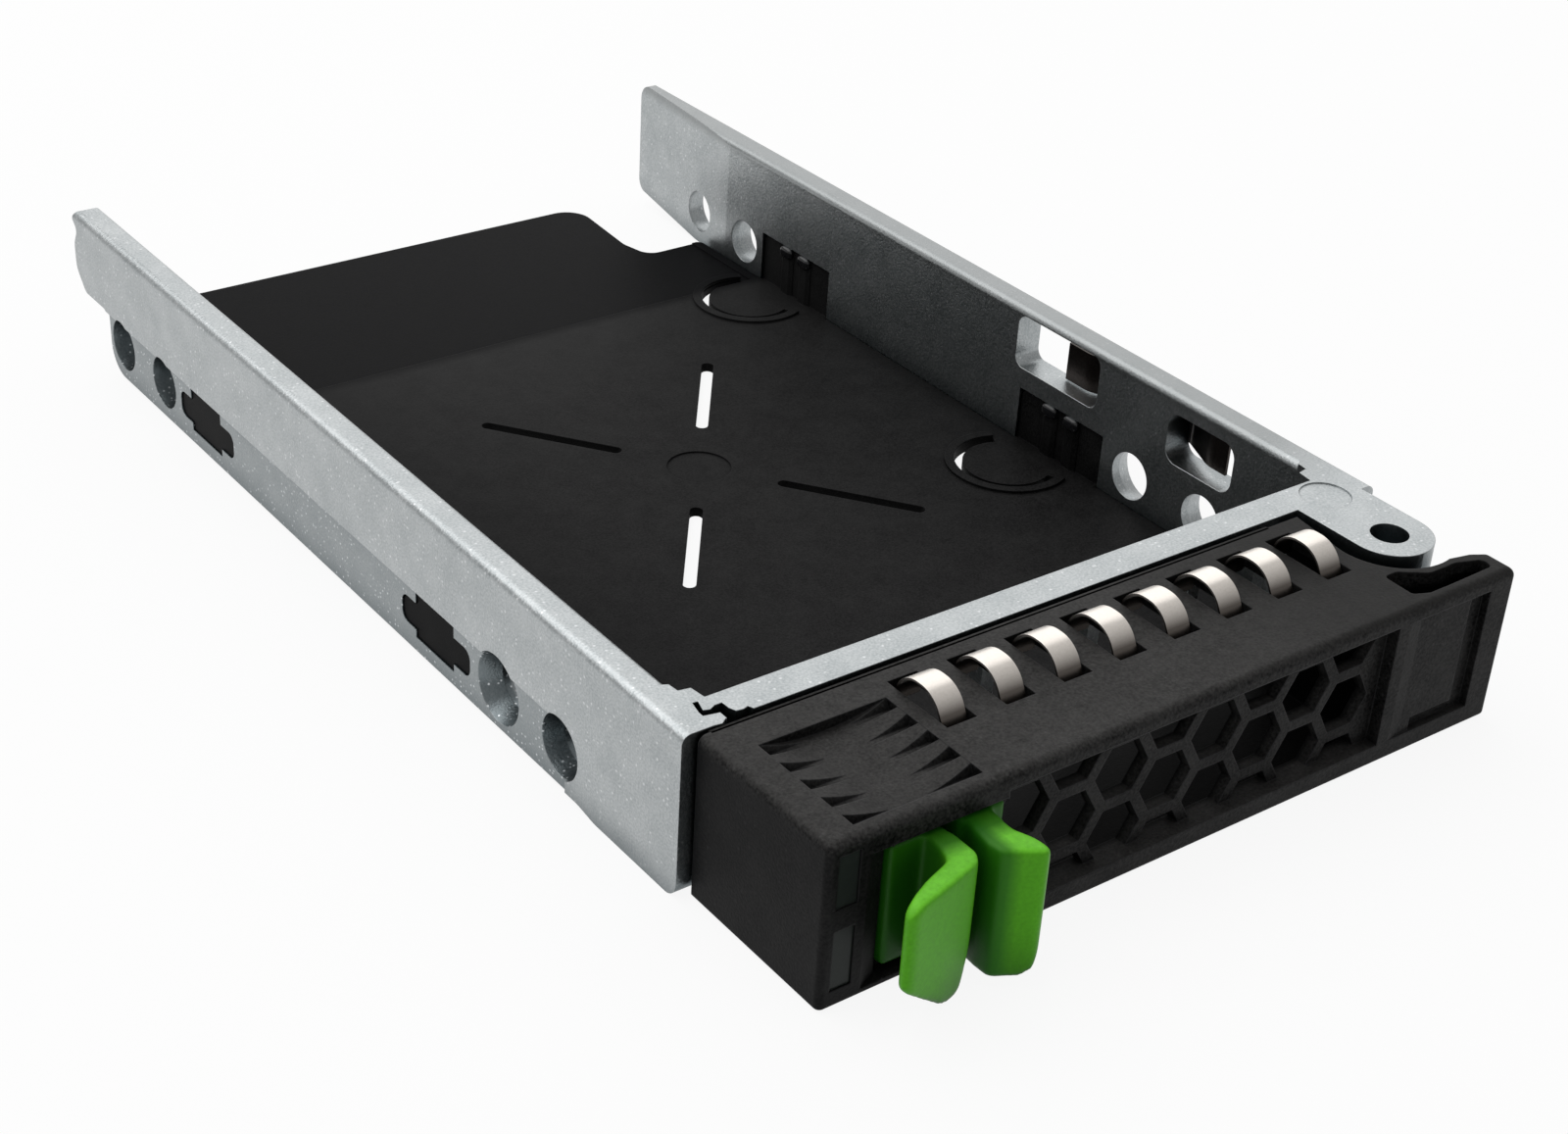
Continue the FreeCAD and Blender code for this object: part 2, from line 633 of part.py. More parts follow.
def lever_handle():
    """The hinged front lever: vent panel, grip, finger windows, latch pocket and hinge barrel."""
    handle = handle_shell()
    recess = box((panel_left, panel_right), (handle_front - 1, panel_face), (panel_low, panel_high))
    cutters = [recess] + vent_cells()
    for i in range(groove_count):
        y = groove_first - i * groove_pitch
        half, low = groove_width / 2, handle_top - groove_depth
        cutters.append(prism([(y - half, handle_top, 0), (y - groove_floor / 2, low, 0),
                              (y + groove_floor / 2, low, 0), (y + half, handle_top, 0),
                              (y + half, handle_top + 1, 0), (y - half, handle_top + 1, 0)],
                             "x", (grip_left, grip_right)))
    dish_middle = (grip_left + grip_right) / 2
    groove_last = groove_first - groove_pitch * (groove_count - 1)
    dish = rod((dish_middle, handle_top - grip_dish + grip_dish_radius), grip_dish_radius,
               (groove_last - groove_width / 2, groove_first + groove_width / 2), "y")
    grip = box((grip_left, grip_right), (handle_front, 0), (handle_top - 1, handle_top + 1))
    cutters.append(dish.common(grip))
    for i in range(finger_count):
        x = finger_first + i * finger_pitch
        cutters.append(box((x - finger_slot_width / 2, x + finger_slot_width / 2),
                           (finger_slot_front, finger_slot_rear), (inner_top - 1, handle_top + 1)))
    cutters.append(panel((pocket_left, pocket_right), (pocket_low, pocket_high), 0.6, "y",
                         (handle_front - 1, inner_front + 0.5)))
    ramp = [(ramp_left, handle_front, 0), (pocket_left + 0.2, handle_front + ramp_depth, 0),
            (pocket_left + 0.2, handle_front - 1, 0), (ramp_left, handle_front - 1, 0)]
    cutters.append(prism(ramp, "z", (pocket_low, pocket_high)))
    for low, high in pipe_heights.values():
        cutters.append(box((pipe_left, pipe_right), (handle_front - 1, inner_front + 1), (low, high)))
    label_left, label_right = overall_width - label_left_inset, overall_width - label_right_inset
    groove = (handle_front - 1, handle_front + label_groove_depth)
    upright = box((label_right - label_groove_width, label_right), groove, (panel_low, panel_high))
    foot = box((label_left, label_right), groove, (panel_low, panel_low + label_foot_height))
    ramp_start, ramp_end = [overall_width - inset for inset in label_ramp]
    pad = prism([(ramp_start, handle_front, 0), (ramp_end, handle_front + label_recess, 0),
                 (label_right, handle_front + label_recess, 0), (label_right, handle_front - 1, 0),
                 (ramp_start, handle_front - 1, 0)], "z", (panel_low, panel_high))
    cutters += [upright, foot, pad, banana_hole()]
    for cutter in cutters:
        handle = handle.cut(cutter)
    handle = fused([handle, hinge_barrel()])
    return handle.cut(rod((pivot_x, pivot_y), pin_radius + pin_clearance, (-1, rail_top), "z"))


def banana_hole():
    """Curved hole in the top skin that follows the ear's round clearance."""
    inner = ear_clearance_radius + arc_skin
    left, front = pivot_x - 6.3, -16.6
    corners = [(left + 0.2, front + 1.2, 0.5), (left + 0.3, -12.1, 0.5), (left + 1.9, -12.1, 0.8),
               (pivot_x - 2.0, pivot_y - inner, 1.5), (pivot_x + 1.2, pivot_y - inner + 0.05, 1.5),
               (pivot_x + 3.9, -14.7, 0.7), (pivot_x + 3.6, -15.9, 0.6), (pivot_x - 2.0, -16.05, 3),
               (left + 1.7, -16.05, 1.0)]
    hole = prism(corners, "z", (inner_top - 0.5, handle_top + 1))
    return hole.cut(rod((pivot_x, pivot_y), inner, (0, handle_top + 2), "z"))


def hinge_barrel():
    """Barrel round the pin and the web that joins it to the lever."""
    barrel = rod((pivot_x, pivot_y), barrel_radius, (barrel_low, barrel_high), "z")
    reach = ear_clearance_radius + arc_skin / 2
    corners = [(pivot_x, pivot_y, 0)]
    for angle in (175, 195, 215, 235, 255):
        turn = math.radians(angle)
        corners.append((pivot_x + reach * math.cos(turn), pivot_y + reach * math.sin(turn), 0))
    return fused([barrel, prism(corners, "z", (barrel_low, barrel_high))])


def tab_plate(plan, front_view):
    """Finger tab bounded by its plan and by its outline seen from the front."""
    return prism(plan, "z", (tab_low - 1, tab_high + 1)).common(prism(front_view, "y", (tab_front - 1, 0)))


def latch_slider():
    """Sliding latch: the left finger tab, its carriage in the lever, and the arm with the hook."""
    right = tab_parting - tab_gap / 2
    plan = [(10.4, -16.0, 0), (10.3, -18.6, 1), (9.9, -20.2, 0.8), (7.1, -21.2, 2), (4.0, -22.7, 0.4),
            (3.5, -23.7, 0.35), (4.4, tab_front, 0.5), (8.4, -22.75, 6), (11.7, -21.75, 1),
            (right, -20.7, 0.9), (right, -18.0, 1), (stem_right, -16.9, 0), (stem_right, -16.0, 0)]
    view = [(3.0, tab_high, 2.6), (right + 0.5, tab_high, 0.5), (right + 0.4, 9, 8),
            (right - 1.4, tab_low, 1), (9.0, tab_low, 3), (3.0, 6.2, 4)]
    tab = tab_plate(plan, view)
    carriage_z = (inner_floor + slide_gap, grip_ceiling - slide_gap)
    stem = box((stem_left, stem_right), (handle_front + 0.3, carriage_rear), (carriage_z[0], tab_high))
    carriage = box((arm_left, stem_right), (inner_front + slide_gap, carriage_rear), carriage_z)
    arm = box((arm_left, arm_left + arm_thick), (carriage_rear - 1, hook_rear), (arm_low, arm_high))
    hook = prism([(arm_left + 0.2, hook_front, 0), (arm_left + 0.2, hook_rear, 0),
                  (arm_left - 0.3, hook_rear, 0), (hook_tip, hook_front + 0.35, 0.15),
                  (hook_tip, hook_front, 0.1)], "z", (arm_low, arm_high))
    return fused([tab, stem, carriage, arm, hook])


def thumb_rest():
    """Fixed finger tab beside the latch, with the block that holds it in the lever."""
    left = tab_parting + tab_gap / 2
    plan = [(left + 0.7, -16.0, 0), (left + 0.2, -18.8, 1.5), (left, -20.3, 1), (left + 0.2, -21.9, 0.8),
            (left + 1.4, -22.5, 1), (16.9, -23.7, 0.5), (17.7, -23.0, 0.4), (17.5, -21.6, 2),
            (16.5, -19.9, 1.5), (16.8, -18.0, 1), (16.7, -16.0, 0)]
    view = [(left - 0.5, tab_high, 0.4), (18.2, tab_high, 1.6), (18.2, 4.5, 3), (16.5, tab_low, 2),
            (left - 0.5, tab_low, 1.2)]
    tab = tab_plate(plan, view)
    neck = box((left + 0.1, pocket_right - 0.2), (handle_front + 0.3, inner_front),
               (pocket_low + 0.4, tab_high))
    block = box((left + 0.1, rib_left), (inner_front, inner_front + 3), (inner_floor, grip_ceiling))
    return fused([tab, neck, block])


def latch_spring():
    """Small compression spring that pushes the latch back to the left."""
    seat_gap = 0.03
    span = rib_left - stem_right - 2 * (coil_wire + seat_gap)
    spring = wound_wire(helix_points(V(0, 0, 0), coil_radius, span / coil_turns, coil_turns, 0), coil_wire)
    spring.rotate(V(0, 0, 0), V(0, 1, 0), 90)
    spring.translate(V(stem_right + coil_wire + seat_gap, coil_y, coil_z))
    return spring


def lever_spring():
    """Torsion spring below the barrel that throws the lever open when the latch lets go."""
    low = lower_ear_high + torsion_wire + 0.2
    high = barrel_low - torsion_wire - 0.2
    side = pivot_x - torsion_radius
    lever_end = pivot_y - ear_clearance_radius + 0.65
    pitch = (high - low) / torsion_turns
    turns = helix_points(V(pivot_x, pivot_y, low), torsion_radius, pitch, torsion_turns, 180)
    return wound_wire([V(side, rail_front, low)] + turns + [V(side, lever_end, high)], torsion_wire)


def light_pipe(low, high):
    """Clear bar whose head fills a window of the lever's front."""
    head = box((pipe_left, pipe_right), (handle_front + 0.15, inner_front), (low, high))
    top = min(high, grip_ceiling) - pipe_shrink
    stem = box((pipe_left + pipe_shrink, pipe_right - pipe_shrink), (inner_front - 0.2, pipe_rear),
               (low + pipe_shrink, top))
    return fused([head, stem])


def finger_strip():
    """Spring contact strip under the top skin, with one arched finger through each window."""
    band_z = inner_top - strip_thick
    half = strip_finger_width / 2
    last = finger_first + (finger_count - 1) * finger_pitch
    pieces = [box((finger_first - half, last + half), (finger_slot_rear - 0.6, handle_rear - 0.4),
                  (band_z, inner_top))]
    crest = finger_crest - strip_thick / 2
    band_middle = band_z + strip_thick / 2
    path = [(finger_slot_rear - 0.5, band_middle, 0), (finger_rise + 0.1, band_middle, 0),
            (finger_rise, crest, finger_bend), (finger_fall, crest, finger_bend), (*finger_tip, 0)]
    for i in range(finger_count):
        x = finger_first + i * finger_pitch
        pieces.append(ribbon(path, strip_thick, "x", (x - half, x + half)))
    return fused(pieces)


def side_spring():
    """Leaf that grips the bay: it leaves the rear window, bows over the wall and enters the front one."""
    face = overall_width
    crest = leaf_crest - leaf_thick / 2
    path = [(face - 1.0, 39.8, 0), (face - 1.0, 36.6, 3), (face + 0.3, 33.0, 0),
            (face + crest + 0.08, 27.7, 9), (face + 0.2, 22.6, 0), (face - 1.6, 18.4, 3),
            (face - 1.6, 16.0, 0)]
    return ribbon(path, leaf_thick, "z", (leaf_low, leaf_high))


def build():
    """Write one STEP file for each piece, with the origin below the middle of the caddy."""
    pieces = {
        "frame_casting": frame_casting(),
        "base_tray": base_tray(),
        "hinge_pin": hinge_pin(),
        "side_spring": side_spring(),
        "lever_handle": lever_handle(),
        "finger_strip": finger_strip(),
        "thumb_rest": thumb_rest(),
        "latch_slider": latch_slider(),
        "latch_spring": latch_spring(),
        "lever_spring": lever_spring(),
    }
    for name, (low, high) in pipe_heights.items():
        pieces[name] = light_pipe(low, high)
    os.makedirs("parts", exist_ok=True)
    for name, shape in pieces.items():
        shape.translate(V(-origin_x, -origin_y, 0))
        shape.exportStep("parts/" + name + ".step")
        size = shape.BoundBox
        print(name, len(shape.Solids), shape.isValid(), round(shape.Volume, 1),
              [round(v, 2) for v in (size.XMin, size.XMax, size.YMin, size.YMax, size.ZMin, size.ZMax)])


build()
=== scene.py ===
import math
import bpy
import numpy as np
from mathutils import Matrix, Vector


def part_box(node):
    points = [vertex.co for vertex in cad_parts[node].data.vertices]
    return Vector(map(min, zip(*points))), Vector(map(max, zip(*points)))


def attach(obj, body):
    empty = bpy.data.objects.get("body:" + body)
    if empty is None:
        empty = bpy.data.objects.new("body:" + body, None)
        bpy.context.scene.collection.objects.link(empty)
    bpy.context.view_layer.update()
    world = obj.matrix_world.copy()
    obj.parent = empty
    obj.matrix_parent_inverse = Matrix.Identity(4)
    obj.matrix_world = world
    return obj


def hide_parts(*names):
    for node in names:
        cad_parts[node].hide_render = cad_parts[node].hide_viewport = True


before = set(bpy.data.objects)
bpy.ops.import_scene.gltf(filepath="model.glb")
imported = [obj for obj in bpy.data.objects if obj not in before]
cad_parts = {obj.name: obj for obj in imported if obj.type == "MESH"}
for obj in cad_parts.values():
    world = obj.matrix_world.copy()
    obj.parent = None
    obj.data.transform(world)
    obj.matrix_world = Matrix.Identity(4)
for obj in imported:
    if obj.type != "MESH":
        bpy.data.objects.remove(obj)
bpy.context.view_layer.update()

# Camera: where the photograph was taken from, a short tele lens in front of the caddy's left corner and
# about 31 degrees above it. Place, turn and focal length were solved from the rails' straight edges.
camera_place = Vector((-0.13099, -0.17590, 0.12511))
turn, rise, roll = math.radians(-38.171), math.radians(30.798), math.radians(3.624)
focal_pixels, picture_pixels = 2588.6, 1600
back = Vector((math.sin(turn) * math.cos(rise), -math.cos(turn) * math.cos(rise), math.sin(rise)))
level = Vector((math.cos(turn), math.sin(turn), 0))
upright = back.cross(level)
right = level * math.cos(roll) + upright * math.sin(roll)
up = upright * math.cos(roll) - level * math.sin(roll)
camera_data = bpy.data.cameras.new("camera")
camera_data.sensor_fit = "HORIZONTAL"
camera_data.sensor_width = 36.0
camera_data.lens = focal_pixels / picture_pixels * camera_data.sensor_width
camera_data.clip_start = 0.01
camera = bpy.data.objects.new("camera", camera_data)
bpy.context.scene.collection.objects.link(camera)
camera.matrix_world = Matrix.Translation(camera_place) @ Matrix((right, up, back)).transposed().to_4x4()
bpy.context.scene.camera = camera

# Floor and light: a pale table in an even white room, with one soft lamp above and behind at the left and
# a broad panel behind at the right, which the tops of the rails mirror. The table keeps the soft shadow.


def flat_square(name, side, height):
    """A square surface of one face, level, at a height."""
    half = side / 2
    corners = [(-half, -half, height), (half, -half, height), (half, half, height), (-half, half, height)]
    mesh = bpy.data.meshes.new(name)
    mesh.from_pydata(corners, [], [(0, 1, 2, 3)])
    obj = bpy.data.objects.new(name, mesh)
    bpy.context.scene.collection.objects.link(obj)
    return obj


def calculated(tree, operation, first, second):
    """The output of a Math node. Each of its two inputs is another node's output or a plain number."""
    node = tree.nodes.new("ShaderNodeMath")
    node.operation = operation
    for socket, value in zip(node.inputs, (first, second)):
        if isinstance(value, float):
            socket.default_value = value
        else:
            tree.links.new(value, socket)
    return node.outputs[0]


def white_paint(name, reflectance, white_share):
    """Matt pale paint, which the camera, metal and glass see as white by a share, so shadows stay faint."""
    material = bpy.data.materials.new(name)
    material.use_nodes = True
    tree = material.node_tree
    tree.nodes.clear()
    surface = tree.nodes.new("ShaderNodeOutputMaterial")
    blend = tree.nodes.new("ShaderNodeMixShader")
    matt = tree.nodes.new("ShaderNodeBsdfDiffuse")
    matt.inputs["Color"].default_value = (reflectance, reflectance, reflectance, 1)
    white = tree.nodes.new("ShaderNodeEmission")
    ray = tree.nodes.new("ShaderNodeLightPath").outputs
    seen = calculated(tree, "MAXIMUM", ray["Is Camera Ray"], ray["Is Glossy Ray"])
    seen = calculated(tree, "MAXIMUM", seen, ray["Is Transmission Ray"])
    tree.links.new(calculated(tree, "MULTIPLY", seen, white_share), blend.inputs["Fac"])
    tree.links.new(matt.outputs[0], blend.inputs[1])
    tree.links.new(white.outputs[0], blend.inputs[2])
    tree.links.new(blend.outputs[0], surface.inputs["Surface"])
    return material


def lamp(name, place, size, watts):
    """A square soft lamp that faces the middle of the caddy."""
    data = bpy.data.lights.new(name, "AREA")
    data.size = size
    data.energy = watts
    obj = bpy.data.objects.new(name, data)
    obj.location = place
    obj.rotation_euler = (-Vector(place)).to_track_quat("-Z", "Y").to_euler()
    bpy.context.scene.collection.objects.link(obj)


table = flat_square("table", side=40.0, height=0.0)
table.data.materials.append(white_paint("table_paint", reflectance=0.82, white_share=0.90))

world = bpy.data.worlds.new("room")
world.use_nodes = True
world.node_tree.nodes["Background"].inputs["Color"].default_value = (1, 1, 1, 1)
world.node_tree.nodes["Background"].inputs["Strength"].default_value = 0.55
bpy.context.scene.world = world
bpy.context.scene.view_settings.view_transform = "Standard"

lamp("lamp_above", place=(-0.30, 0.45, 0.85), size=1.1, watts=6.0)
lamp("lamp_panel", place=(0.62, 0.72, 0.58), size=1.1, watts=3.0)

# Frame casting: rails, cross bar, ears and keeper are one zinc pressure casting, tumbled and passivated.
# Its skin is pale blasted metal, satin with fine bright and dark grains; its edges get a painted highlight.


def ramp(tree, value, start, end, low=0.0, high=1.0):
    """The output of a Map Range node: low at start, high at end, and held at them beyond."""
    node = tree.nodes.new("ShaderNodeMapRange")
    node.inputs["From Min"].default_value = start
    node.inputs["From Max"].default_value = end
    node.inputs["To Min"].default_value = low
    node.inputs["To Max"].default_value = high
    tree.links.new(value, node.inputs["Value"])
    return node.outputs["Result"]


def noise(tree, scale, detail, roughness):
    """The output of a Noise node in the piece's own coordinates, with its scale taken from a socket."""
    place = tree.nodes.new("ShaderNodeTexCoord")
    node = tree.nodes.new("ShaderNodeTexNoise")
    node.inputs["Detail"].default_value = detail
    node.inputs["Roughness"].default_value = roughness
    tree.links.new(place.outputs["Object"], node.inputs["Vector"])
    tree.links.new(scale, node.inputs["Scale"])
    return node.outputs["Fac"]


def new_group(name, inputs, outputs):
    """An empty node group with float inputs and (name, type) outputs, with its input and output nodes."""
    group = bpy.data.node_groups.new(name, "ShaderNodeTree")
    for label in inputs:
        group.interface.new_socket(label, in_out="INPUT", socket_type="NodeSocketFloat")
    for label, kind in outputs:
        group.interface.new_socket(label, in_out="OUTPUT", socket_type=kind)
    return group, group.nodes.new("NodeGroupInput"), group.nodes.new("NodeGroupOutput")


def grain_group():
    """Fine surface grain: even noise at the asked scale, and a soft cloud about seventeen times larger."""
    group, inside, out = new_group("fine_grain", ["Scale"], [("Grain", "NodeSocketFloat"),
                                                             ("Cloud", "NodeSocketFloat")])
    scale = inside.outputs["Scale"]
    cloud_scale = calculated(group, "MULTIPLY", scale, 0.06)
    group.links.new(noise(group, scale, detail=2.0, roughness=0.5), out.inputs["Grain"])
    group.links.new(noise(group, cloud_scale, detail=5.0, roughness=0.6), out.inputs["Cloud"])
    return group


def edge_group():
    """Soft edges: a normal as if edges had a small round, and a mask on it for a painted highlight."""
    group, inside, out = new_group("soft_edge", ["Radius"], [("Normal", "NodeSocketVector"),
                                                             ("Edge", "NodeSocketFloat")])
    bevel = group.nodes.new("ShaderNodeBevel")
    bevel.samples = 6
    geometry = group.nodes.new("ShaderNodeNewGeometry")
    likeness = group.nodes.new("ShaderNodeVectorMath")
    likeness.operation = "DOT_PRODUCT"
    group.links.new(inside.outputs["Radius"], bevel.inputs["Radius"])
    group.links.new(bevel.outputs["Normal"], likeness.inputs[0])
    group.links.new(geometry.outputs["Normal"], likeness.inputs[1])
    group.links.new(bevel.outputs["Normal"], out.inputs["Normal"])
    group.links.new(ramp(group, likeness.outputs["Value"], 0.99, 0.80), out.inputs["Edge"])
    return group


def cavity_group():
    """Cavities: a mask, 1 in corners and holes within the asked reach and 0 in the open, for painted shade.
    """
    group, inside, out = new_group("cavities", ["Reach"], [("Cavity", "NodeSocketFloat")])
    open_sky = group.nodes.new("ShaderNodeAmbientOcclusion")
    open_sky.samples = 6
    group.links.new(inside.outputs["Reach"], open_sky.inputs["Distance"])
    group.links.new(ramp(group, open_sky.outputs["AO"], 0.92, 0.30), out.inputs["Cavity"])
    return group


def dust_and_top_light_group():
    """Upward faces: a mask strongest where the surface faces up, broken by a noise, for dust and painted
    light.
    """
    group, inside, out = new_group("upward_dust_and_light", ["Scale"], [("DustAndTopLight", "NodeSocketFloat")])
    place = group.nodes.new("ShaderNodeTexCoord")
    parts = group.nodes.new("ShaderNodeSeparateXYZ")
    group.links.new(place.outputs["Normal"], parts.inputs["Vector"])
    facing_up = ramp(group, parts.outputs["Z"], 0.35, 0.95)
    patches = noise(group, inside.outputs["Scale"], detail=6.0, roughness=0.75)
    group.links.new(calculated(group, "MULTIPLY", facing_up, patches), out.inputs["DustAndTopLight"])
    return group


def speck_group():
    """Scattered specks: a mask of small round dots, one in a share of the cells of the asked scale."""
    group, inside, out = new_group("specks", ["Scale", "Share"], [("Speck", "NodeSocketFloat")])
    place = group.nodes.new("ShaderNodeTexCoord")
    cells = group.nodes.new("ShaderNodeTexVoronoi")
    group.links.new(place.outputs["Object"], cells.inputs["Vector"])
    group.links.new(inside.outputs["Scale"], cells.inputs["Scale"])
    dot = ramp(group, cells.outputs["Distance"], 0.30, 0.12)
    chosen = calculated(group, "LESS_THAN", cells.outputs["Color"], inside.outputs["Share"])
    group.links.new(calculated(group, "MULTIPLY", dot, chosen), out.inputs["Speck"])
    return group


FINE_GRAIN = grain_group()
SOFT_EDGE = edge_group()
SPECKS = speck_group()
CAVITIES = cavity_group()
DUST_AND_TOP_LIGHT = dust_and_top_light_group()


def used(material, group, **values):
    """A node of a material that holds one of the shared groups, with its inputs set."""
    node = material.node_tree.nodes.new("ShaderNodeGroup")
    node.node_tree = group
    for label, value in values.items():
        node.inputs[label].default_value = value
    return node


def mixed(material, factor, base, colour, strength=1.0):
    """The output of a colour mix from base towards a fixed colour, by a mask times a strength."""
    tree = material.node_tree
    node = tree.nodes.new("ShaderNodeMix")
    node.data_type = "RGBA"
    node.inputs["B"].default_value = (*colour, 1)
    if isinstance(base, tuple):
        node.inputs["A"].default_value = (*base, 1)
    else:
        tree.links.new(base, node.inputs["A"])
    tree.links.new(calculated(tree, "MULTIPLY", factor, strength), node.inputs["Factor"])
    return node.outputs["Result"]


def finish(name, dark, pale, edge_highlight, speck, dust_and_top_light, cavity_shade, grain_size, grain_depth, edge_round, roughness,
           reach=0.004, metallic=0.0, specular=0.5):
    """Opaque finish: grain from dark to pale, and a (colour, strength) each for edges, specks, upward faces
    and cavities. The colour for edges is a painted highlight, and the colour for cavities is painted shade
    in corners and holes. The colour for upward faces is settled dust, and on the green tabs it is painted
    light.

    grain_size, grain_depth, edge_round and reach are lengths. The colour follows 65 parts of fine grain to
    35 of cloud. Specks are 2.5 grains apart and the patches on upward faces are 4 grains wide. roughness
    runs with the grain from its first value to its second.
    """
    material = bpy.data.materials.new(name)
    material.use_nodes = True
    tree = material.node_tree
    shader = tree.nodes["Principled BSDF"]
    shader.inputs["Metallic"].default_value = metallic
    shader.inputs["Specular IOR Level"].default_value = specular
    grain = used(material, FINE_GRAIN, Scale=1 / grain_size).outputs
    edges = used(material, SOFT_EDGE, Radius=edge_round).outputs
    specks = used(material, SPECKS, Scale=1 / (2.5 * grain_size), Share=0.3).outputs
    dust_and_top_light_outputs = used(material, DUST_AND_TOP_LIGHT, Scale=1 / (4 * grain_size)).outputs
    cavities = used(material, CAVITIES, Reach=reach).outputs
    grains = calculated(tree, "ADD", calculated(tree, "MULTIPLY", grain["Cloud"], 0.35),
                        calculated(tree, "MULTIPLY", grain["Grain"], 0.65))
    colour = mixed(material, ramp(tree, grains, 0.35, 0.65), dark, pale)
    colour = mixed(material, specks["Speck"], colour, *speck)
    # Dust on upward faces, and on the green tabs painted light on their tops.
    colour = mixed(material, dust_and_top_light_outputs["DustAndTopLight"], colour, *dust_and_top_light)
    # Painted highlight along the edges.
    colour = mixed(material, edges["Edge"], colour, *edge_highlight)
    # Painted shade in corners, holes and recesses.
    colour = mixed(material, cavities["Cavity"], colour, *cavity_shade)
    bump = tree.nodes.new("ShaderNodeBump")
    bump.inputs["Strength"].default_value = 1.0
    bump.inputs["Distance"].default_value = grain_depth
    tree.links.new(grain["Grain"], bump.inputs["Height"])
    tree.links.new(edges["Normal"], bump.inputs["Normal"])
    tree.links.new(bump.outputs["Normal"], shader.inputs["Normal"])
    tree.links.new(ramp(tree, grain["Grain"], 0.0, 1.0, *roughness), shader.inputs["Roughness"])
    tree.links.new(colour, shader.inputs["Base Color"])
    return material


def zone(material, *ramps):
    """A mask in the piece's own coordinates: the product of ramps (axis, place of 0, place of 1)."""
    tree = material.node_tree
    place = tree.nodes.new("ShaderNodeTexCoord")
    parts = tree.nodes.new("ShaderNodeSeparateXYZ")
    tree.links.new(place.outputs["Object"], parts.inputs["Vector"])
    mask = None
    for axis, start, end in ramps:
        inside = ramp(tree, parts.outputs[axis], start, end)
        mask = inside if mask is None else calculated(tree, "MULTIPLY", inside, mask)
    return mask


def paint_light_and_shade(material, mask, colour, strength):
    """Paint light and shade: blend the finish towards another colour where a mask is 1."""
    base_colour = material.node_tree.nodes["Principled BSDF"].inputs["Base Color"]
    found = base_colour.links[0].from_socket
    material.node_tree.links.new(mixed(material, mask, found, colour, strength), base_colour)


def coat(node, material):
    """Give a piece of the frame its finish."""
    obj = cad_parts[node]
    obj.data.materials.clear()
    obj.data.materials.append(material)


zinc = finish("zinc_casting", dark=(0.32, 0.345, 0.352), pale=(0.50, 0.52, 0.525),
              edge_highlight=((0.58, 0.60, 0.60), 0.5), speck=((0.80, 0.81, 0.82), 0.55),
              dust_and_top_light=((0.50, 0.50, 0.49), 0.1), cavity_shade=((0.07, 0.09, 0.098), 1.0),
              grain_size=0.00022, grain_depth=0.000030, edge_round=0.00012,
              roughness=(0.28, 0.44), metallic=1.0)

# Inside the thickness of the left rail's wall, its holes and windows get painted shade and painted glints.
rail_outside, rail_inside, bar_front, glint_spacing = -0.03895, -0.03575, -0.04735, 0.00045
in_wall = zone(zinc, ("X", rail_outside + 0.0001, rail_outside + 0.00035),
               ("X", rail_inside - 0.00015, rail_inside - 0.00055), ("Z", 0.0125, 0.0115),
               ("Y", bar_front + 0.00015, bar_front + 0.00075))
glints = used(zinc, SPECKS, Scale=1 / glint_spacing, Share=0.4).outputs["Speck"]
paint_light_and_shade(zinc, in_wall, (0.10, 0.125, 0.135), 0.75)
paint_light_and_shade(zinc, calculated(zinc.node_tree, "MULTIPLY", in_wall, glints), (0.92, 0.95, 0.97), 0.9)

# Painted shade: the right rail's top is darker than the other tops.
right_top_shade = zone(zinc, ("X", 0.030, 0.033), ("Z", 0.0142, 0.0152), ("Y", -0.046, -0.036))
paint_light_and_shade(zinc, right_top_shade, (0.24, 0.25, 0.25), 0.7)
coat("frame_casting", zinc)

# Floor tray: one moulding in black glass-filled plastic with a matt spark-eroded skin. Its floor has
# painted light in front of the crease, and painted shade on its rear flap behind the crease and along its
# left side.
black_base = finish("black_base", dark=(0.001, 0.001, 0.0012), pale=(0.015, 0.015, 0.015),
                    edge_highlight=((0.020, 0.020, 0.021), 0.6), speck=((0.03, 0.03, 0.03), 0.3),
                    dust_and_top_light=((0.034, 0.033, 0.033), 0.35), cavity_shade=((0.002, 0.002, 0.002), 0.8),
                    grain_size=0.00018, grain_depth=0.000012, edge_round=0.00015,
                    roughness=(0.42, 0.60), specular=0.03)
crease_start, crease_end = 0.0420, 0.0434
light_before_crease = zone(black_base, ("Y", 0.015, 0.041), ("Y", crease_end, crease_start))
shade_on_rear_flap = zone(black_base, ("Y", crease_start - 0.0006, crease_end))
shade_on_left_side = zone(black_base, ("X", -0.010, -0.036), ("Y", crease_end, crease_start))
# Painted light before the crease, and painted shade on the rear flap and the left side.
paint_light_and_shade(black_base, light_before_crease, (0.034, 0.034, 0.034), 0.25)
paint_light_and_shade(black_base, shade_on_rear_flap, (0.0024, 0.0024, 0.0028), 0.9)
paint_light_and_shade(black_base, shade_on_left_side, (0.003, 0.003, 0.0033), 0.5)
coat("base_tray", black_base)

# Clip humps: two polished pads at the top of each tray clip, which press on the drive. They are part of
# the tray moulding, in the same plastic, but come from a polished insert and shine.


